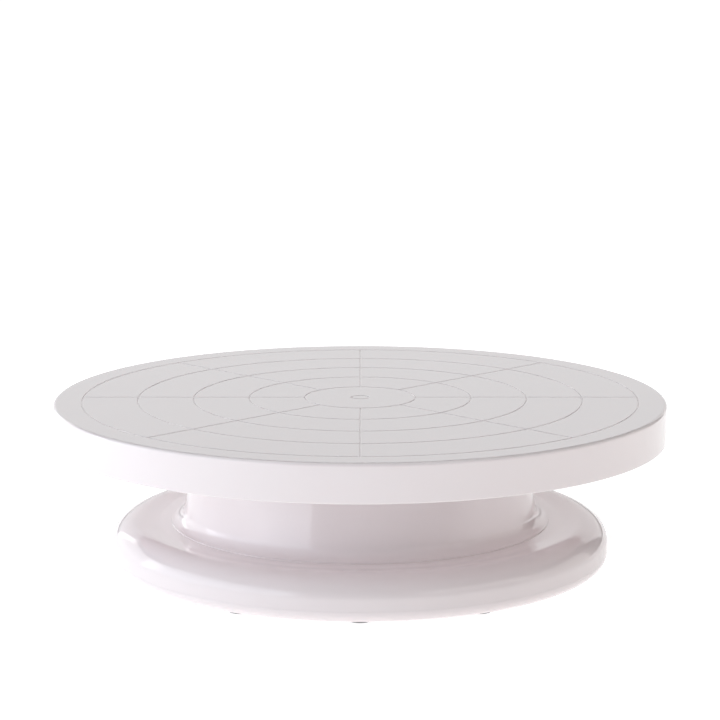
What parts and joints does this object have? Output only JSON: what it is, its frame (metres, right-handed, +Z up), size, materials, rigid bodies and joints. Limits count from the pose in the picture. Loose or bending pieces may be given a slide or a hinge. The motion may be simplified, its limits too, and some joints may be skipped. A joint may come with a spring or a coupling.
{
  "type": "cake turntable",
  "caption": "Low white cake turntable: a round platter that spins freely on a ball ring over a wide round base with a tapered neck.",
  "frame": {"origin": "centre of the footprint, on the surface that the rubber pads stand on", "axes": "+Z up along the spindle, the axis that the platter turns about; -Y towards the viewer, +X to the right"},
  "size_m": [0.28, 0.28, 0.076],
  "materials": {
    "white_plastic": "cool white glossy moulded plastic",
    "natural_acetal": "natural unpigmented bearing plastic",
    "cage_plastic": "blue moulded nylon",
    "ball_steel": "polished bearing steel",
    "race_steel": "pressed steel with a light film of grease",
    "spindle_steel": "turned steel",
    "spring_steel": "dark phosphated spring steel",
    "zinc_screws": "bright zinc plate",
    "pad_rubber": "mid grey soft rubber"
  },
  "bodies": {
    "base": {"base_shell": "white_plastic", "base_tray": "white_plastic", "base_tray_screws": "zinc_screws", "hub_cap": "white_plastic", "upper_bush": "natural_acetal", "lower_bush": "natural_acetal", "lower_race": "race_steel", "lower_race_screws": "zinc_screws", "rubber_pad_1": "pad_rubber", "rubber_pad_2": "pad_rubber", "rubber_pad_3": "pad_rubber", "rubber_pad_4": "pad_rubber", "rubber_pad_5": "pad_rubber", "rubber_pad_6": "pad_rubber", "rubber_pad_7": "pad_rubber", "rubber_pad_8": "pad_rubber", "rubber_pad_9": "pad_rubber", "rubber_pad_10": "pad_rubber", "rubber_pad_11": "pad_rubber", "rubber_pad_12": "pad_rubber"},
    "turntable": {"platter": "white_plastic", "upper_race": "race_steel", "upper_race_screws": "zinc_screws", "spindle": "spindle_steel", "spindle_screws": "zinc_screws", "thrust_washer": "race_steel", "retaining_clip": "spring_steel"},
    "ball_ring": {"ball_cage": "cage_plastic", "bearing_balls": "ball_steel"}
  },
  "joints": [
    {"name": "platter_spin", "type": "hinge", "parent": "base", "child": "turntable", "pos_m": [0, 0, 0.061], "axis": [0, 0, 1], "continuous": true},
    {"name": "cage_spin", "type": "hinge", "parent": "base", "child": "ball_ring", "pos_m": [0, 0, 0.0649], "axis": [0, 0, 1], "continuous": true}
  ],
  "couplings": [
    {"joint": "cage_spin", "follows": "platter_spin", "ratio": 0.5}
  ]
}
